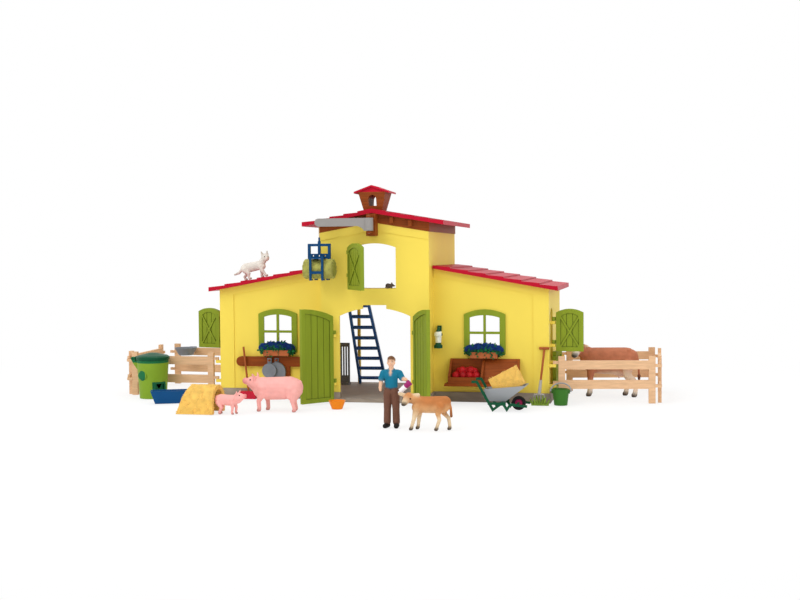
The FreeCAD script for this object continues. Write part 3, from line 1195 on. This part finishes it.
def cow():
    """Walks to the left behind the right fence, with its head turned to the viewer."""
    outline = [(0, -40), (6, -40), (14.5, -34, 12), (18.5, -4, 70), (17, 22, 90), (7, 36, 20), (0, 36)]
    head = [((28, 0, 57), (42, 6, 68), 13, 9), ((43, 7, 69), 9.5), ((43, 8, 69), (46, 22, 60), 8.8, 6.2),
            ((46, 22, 60), 6.5), ((37, 7, 74), (29, 9, 73), 3.2, 1.4), ((49, 9, 74), (58, 11, 71), 3.2, 1.4)]
    rear = [((-17, 0, 35), 8.5), ((-36, 0, 60), (-43, 0, 52), 2.4, 2), ((-43, 0, 53), (-44, 0, 22), 2.1, 3)]
    at = (HALF + 76, 98, 0)
    beast("cow", outline, 52, -2, head + rear + legs(26, 27, 9, 46, 8, 4.6), at, LEFT)


def calf():
    """Steps to the left towards the bottle, its head turned to the viewer."""
    outline = [(0, -23), (3, -23), (8, -18, 6.5), (9.4, 0, 40), (8.8, 15, 50), (3, 23, 10), (0, 23)]
    head = [((16, 0, 32), (26, 1, 39), 8, 5.6), ((28, 2, 39.5), 6), ((28, 2, 39.5), (33, 7, 33), 5.4, 3.5),
            ((33, 7, 33), 3.8), ((24, 1, 42.5), (18, 3, 42), 2.3, 1), ((32, 3, 42.5), (40, 5, 42.5), 2.3, 1)]
    tail = [((-19, 0, 34), (-25, 0, 12), 1.5, 1.8)]
    steps = [((18, -5, 26), (18, -5, 0), 4.6, 2.7), ((22, 5, 26), (24, 5, 0), 4.6, 2.7),
             ((-14, -5, 28), (-20, -5, 0), 5.4, 2.7), ((-12, 5, 28), (-6, 5, 0), 5.4, 2.7)]
    beast("calf", outline, 30, -3, head + tail + steps, (127, -264, 0), LEFT)


def pigs():
    """The sow lifts her snout; the piglet comes out of the straw."""
    outline = [(0, -35), (5, -35), (13, -29, 12), (17, -4, 55), (14, 22, 60), (11.5, 32, 40), (5, 37, 12),
               (0, 37)]
    pieces = [((27, 0, 33), (42, 0, 38), 10, 5.4), ((25, -7, 41), (31, -9.5, 48), 4.8, 1.5),
              ((25, 7, 41), (31, 9.5, 48), 4.8, 1.5), ((-29, 0, 35), (-38, 2, 40), 2, 1.2)]
    beast("pig", outline, 30.5, 0, pieces + legs(16, 19, 8.5, 24, 7.4, 4.8), (-111, -133, 0), LEFT)
    outline = [(0, -16.5), (2.4, -16.5), (6.2, -13.5, 6), (8, -1, 26), (6.8, 10, 30), (5.6, 15, 20),
               (2.4, 18, 6),
               (0, 18)]
    pieces = [((13, 0, 20), (20.5, 0, 22), 4.8, 2.8), ((11, -4, 24), (13, -5.4, 29), 2.6, 0.9),
              ((11, 4, 24), (13, 5.4, 29), 2.6, 0.9), ((-13, 0, 20), (-18, 1, 23), 1.1, 0.7)]
    beast("piglet", outline, 18.4, 0, pieces + legs(8, 9, 4, 15, 3.4, 2.3), (-164, -171, 0), FLAT)


def cat():
    """Walks up the left roof."""
    outline = [(0, -18), (2, -18), (5.6, -14, 6), (6.4, 0, 40), (5.8, 12, 40), (2, 17, 7), (0, 17)]
    pieces = [((13, 0, 19), (19, 0, 25), 5.4, 4.4), ((20, 0, 27), 6), ((22, 0, 26), (26.4, 0, 25), 4, 2.4),
              ((19, -3.4, 30), (19, -4.6, 36), 2.4, 0.7), ((19, 3.4, 30), (19, 4.6, 36), 2.4, 0.7),
              ((-14, 0, 18), (-24, 0, 12.5), 2.1, 1.8), ((-23.4, 0, 12.8), (-31, 0, 11), 1.7, 1.2)]
    x = TOWER + 109
    at = (-x, 8, wing_under(x) + S.roof_thick)
    uphill = Rotation(Vector(0, 1, 0), -math.degrees(math.atan(num(S.wing_fall))))
    beast("cat", outline, 17, 0, pieces + legs(11, 12, 3.2, 14, 2.8, 2), at, uphill)


def mouse():
    pieces = [((0, 0, 3.2), (5.2, 2.4, 3.1)), ((4, 0, 3.6), (7, 0, 2.6), 2.2, 0.6), ((3, -1.3, 6), 1.3),
              ((3, 1.3, 6), 1.3), ((0, 0, 0), (0, 0, 3), 2, 2)]
    figure("mouse", pieces, (21, TOWER_FRONT + S.wall / 2, S.loft_sill))


def farmer():
    """A doll of the farmer, facing the viewer, and the bottle in its hand."""
    lower = [((0, -5.4, 2.6), (6.4, 4, 2.6)), ((0, 5.4, 2.6), (6.4, 4, 2.6)),
             ((-1, -5.4, 2), (-1, -4.6, 42), 4.4, 5.6), ((-1, 5.4, 2), (-1, 4.6, 42), 4.4, 5.6),
             ((-1, 0, 43), (6, 9.4, 6))]
    upper = [((-1, 0, 43), (-1, 0, 65), 7.6, 8.2), ((-1, 0, 65.5), (6, 11, 5.2)),
             ((-1, 0, 66), (-0.6, 0, 73), 3.6, 3.4), ((0, 0, 79),
                                                      (7, 6.6, 8.6)), ((-1.4, 0, 81.6), (6.8, 7, 6.4))]
    still_arm = [((-1, -10, 65), (-1, -13.4, 55), 4, 3.2), ((-1, -13.4, 55.5), (1, -13, 47), 3, 2.4),
                 ((1.4, -13, 45.6), 2.8)]
    bent_arm = [((-1, 10, 65), (-0.6, 14, 57.4), 4, 3.2), ((-1, 13.4, 58.4), (4.4, 18.6, 58.6), 2.9, 2.3),
                ((4.9, 19, 58.7), 2.6)]
    figure("farmer", lower + upper + still_arm + bent_arm, (75, -252, 0), Rotation(UP, -90))
    cap, neck, base, teat = (99.8, -259, 55.8), (96.6, -259.5, 52.9), (88, -260.9, 45), (85.8, -261.2, 43)
    bottle = [(cap, neck, 3.6, 3.6), (neck, base, 3.1, 3.1), (base, teat, 1.7, 1)]
    figure("nursing_bottle", bottle, (0, 0, 0))


cow()
calf()
pigs()
cat()
mouse()
farmer()


# Check and write every sub-part

doc.recompute()
failed = [o.Label for o in doc.Objects if "Invalid" in o.State or "Error" in o.State]
if failed:
    raise RuntimeError(f"failed objects: {failed}")
os.makedirs("parts", exist_ok=True)
for part in NODES:
    shape = part.Shape
    if shape.isNull() or not shape.isValid():
        raise RuntimeError(f"bad shape: {part.Label}")
for part in NODES:
    part.Shape.exportStep(f"parts/{part.Label}.step")
    bounds = part.Shape.BoundBox
    print(f"{part.Label}: {len(part.Shape.Solids)} solids, {part.Shape.Volume / 1000:.2f} cm3, "
          f"z {bounds.ZMin:.1f} to {bounds.ZMax:.1f}")
